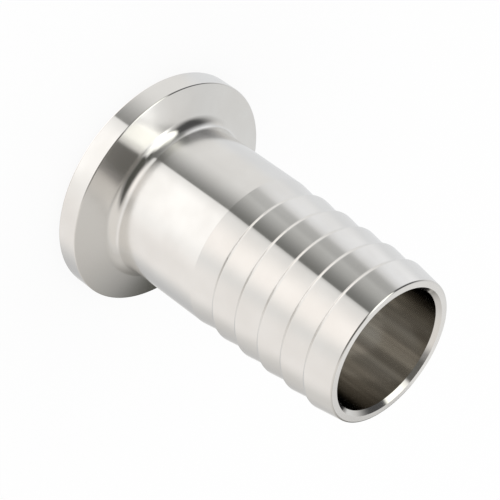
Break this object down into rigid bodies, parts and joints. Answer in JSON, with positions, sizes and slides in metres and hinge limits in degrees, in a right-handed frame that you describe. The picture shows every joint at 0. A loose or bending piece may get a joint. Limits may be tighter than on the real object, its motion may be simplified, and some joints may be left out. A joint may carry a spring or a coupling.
{
  "type": "flange hose barb adapter",
  "caption": "Turned tube fitting with a round sanitary clamp flange, a plain shank and a barbed nose that a hose is pushed onto.",
  "frame": {"origin": "centre of the flange's mating face, on the bore's axis", "axes": "+Z along the bore's axis, from the mating face towards the barbed nose; X and Y lie in the mating face, and the part is the same all round"},
  "size_m": [0.0505, 0.0504, 0.0679],
  "materials": {
    "stainless": "fine turned and polished, bright, with faint turning lines round the axis; duller inside the bore"
  },
  "bodies": {
    "root": {"adapter": "stainless"}
  },
  "joints": []
}
